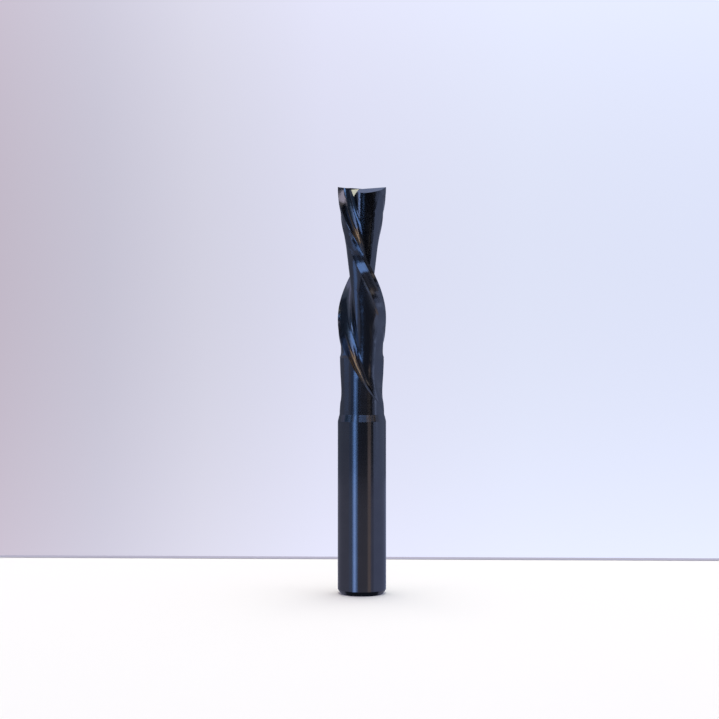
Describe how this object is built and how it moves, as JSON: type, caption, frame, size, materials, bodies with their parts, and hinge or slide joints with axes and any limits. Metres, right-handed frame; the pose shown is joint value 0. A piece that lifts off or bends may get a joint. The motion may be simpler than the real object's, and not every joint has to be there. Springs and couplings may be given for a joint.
{
  "type": "router bit",
  "caption": "Solid carbide down-cut spiral router bit: plain shank, relieved neck and two left-hand flutes ending in sharp end teeth.",
  "frame": {"origin": "centre of the shank's flat end face", "axes": "+Z along the tool axis, from the shank end to the cutting end; the two corner tips lie on the X axis"},
  "size_m": [0.012, 0.012, 0.1008],
  "materials": {
    "carbide": "ground cemented carbide, dark and bright"
  },
  "bodies": {
    "root": {"router_bit": "carbide"}
  },
  "joints": []
}
